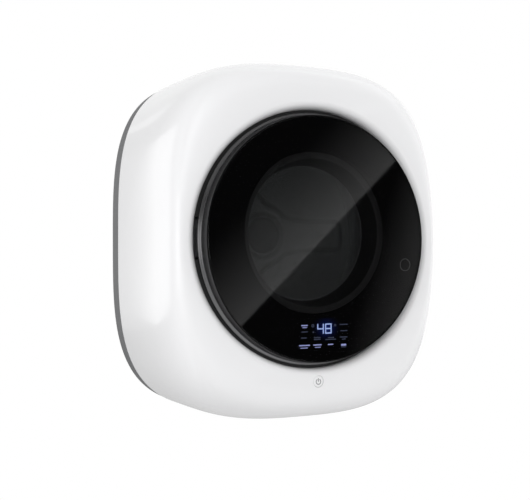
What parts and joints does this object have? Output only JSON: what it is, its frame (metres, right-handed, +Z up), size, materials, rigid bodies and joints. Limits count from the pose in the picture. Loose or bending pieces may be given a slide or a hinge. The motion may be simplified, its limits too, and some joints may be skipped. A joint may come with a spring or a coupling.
{
  "type": "wall mounted washing machine",
  "caption": "Compact washing machine that bolts to a wall: rounded body, large round dark glass door on a hidden side hinge, perforated drum with belt drive, pump, heater and drying fan.",
  "frame": {"origin": "centre of the four wall bolts, in the plane of the wall", "axes": "+Z up, the door faces -Y, +Y points into the wall, +X is to the right seen from the front"},
  "size_m": [0.55, 0.325, 0.65],
  "materials": {
    "white_gloss": "smooth white moulding",
    "casing_grey": "satin grey moulding",
    "panel_grey": "light grey moulding",
    "black_plastic": "black moulding",
    "dark_glass": "smoked mirror glass",
    "clear_bowl": "clear moulded bowl",
    "dark_chrome": "dark polished ring",
    "stainless": "stainless sheet",
    "steel": "plain steel",
    "plate_steel": "coated steel plate",
    "cast_aluminium": "cast",
    "rubber_black": "black rubber",
    "rubber_grey": "grey rubber",
    "tub_plastic": "filled plastic",
    "cream_plastic": "pale plastic",
    "motor_grey": "painted can",
    "board_green": "circuit board",
    "display_dark": "dark display"
  },
  "bodies": {
    "body": {"rear_plate": "plate_steel", "rear_casing": "casing_grey", "wall_pads": "rubber_black", "front_cover": "white_gloss", "cover_screws": "steel", "front_fascia": "panel_grey", "dispenser_tray": "cream_plastic", "fill_hose": "rubber_black", "inlet_valve": "cream_plastic", "tub_rear": "tub_plastic", "tub_front": "tub_plastic", "tub_seal": "rubber_black", "tub_screws": "steel", "tub_mounts": "rubber_black", "front_bearing": "steel", "rear_bearing": "steel", "shaft_seal": "rubber_black", "door_gasket": "rubber_grey", "gasket_clamp": "steel", "motor_housing": "motor_grey", "drive_belt": "rubber_black", "drain_pump": "cream_plastic", "sump_hose": "rubber_black", "filter_housing": "cream_plastic", "drain_spigot": "cream_plastic", "water_heater": "steel", "pressure_switch": "cream_plastic", "control_box": "cream_plastic", "control_board": "board_green", "mains_gland": "black_plastic", "button_guide": "black_plastic", "button_spring": "steel", "lock_housing": "black_plastic", "hinge_bracket": "steel", "hinge_pin": "steel", "fan_housing": "black_plastic", "heater_duct": "plate_steel"},
    "door": {"door_glass": "dark_glass", "door_bezel": "dark_chrome", "door_frame": "black_plastic", "door_bowl": "clear_bowl", "display_module": "display_dark", "hinge_arm": "cast_aluminium", "door_striker": "steel", "door_screws": "steel"},
    "drum": {"drum_shell": "stainless", "drum_back_panel": "stainless", "drum_front_panel": "stainless", "drum_lifters": "cream_plastic", "drum_spider": "cast_aluminium", "drum_shaft": "steel", "drum_pulley": "cast_aluminium", "pulley_bolt": "steel"},
    "motor": {"motor_rotor": "steel", "motor_pulley": "steel"},
    "pump_impeller": {"pump_impeller": "black_plastic"},
    "dryer_fan": {"dryer_fan": "black_plastic"},
    "filter_cap": {"filter_cap": "black_plastic"},
    "power_button": {"power_button": "white_gloss"},
    "latch_plunger": {"latch_plunger": "cream_plastic"}
  },
  "joints": [
    {"name": "door_hinge", "type": "hinge", "parent": "body", "child": "door", "pos_m": [-0.24, -0.292, 0.003], "axis": [0, 0, -1], "range_deg": [0, 110]},
    {"name": "drum_spin", "type": "hinge", "parent": "body", "child": "drum", "pos_m": [0, -0.15, 0.014], "axis": [0, -1, 0], "continuous": true},
    {"name": "motor_spin", "type": "hinge", "parent": "body", "child": "motor", "pos_m": [0.12, -0.095, -0.226], "axis": [0, -1, 0], "continuous": true},
    {"name": "pump_spin", "type": "hinge", "parent": "body", "child": "pump_impeller", "pos_m": [-0.11, -0.16, -0.275], "axis": [0, -1, 0], "continuous": true},
    {"name": "fan_spin", "type": "hinge", "parent": "body", "child": "dryer_fan", "pos_m": [0.088, -0.09, 0.262], "axis": [0, -1, 0], "continuous": true},
    {"name": "filter_turn", "type": "hinge", "parent": "body", "child": "filter_cap", "pos_m": [-0.11, -0.205, -0.3], "axis": [0, 0, 1], "range_deg": [0, 90]},
    {"name": "button_press", "type": "slide", "parent": "body", "child": "power_button", "axis": [0, 1, 0], "range_m": [0, 0.0015], "stiffness_N_per_m": 400},
    {"name": "plunger_press", "type": "slide", "parent": "body", "child": "latch_plunger", "axis": [0, 1, 0], "range_m": [0, 0.003], "stiffness_N_per_m": 300}
  ],
  "couplings": [
    {"joint": "motor_spin", "follows": "drum_spin", "ratio": 12}
  ]
}
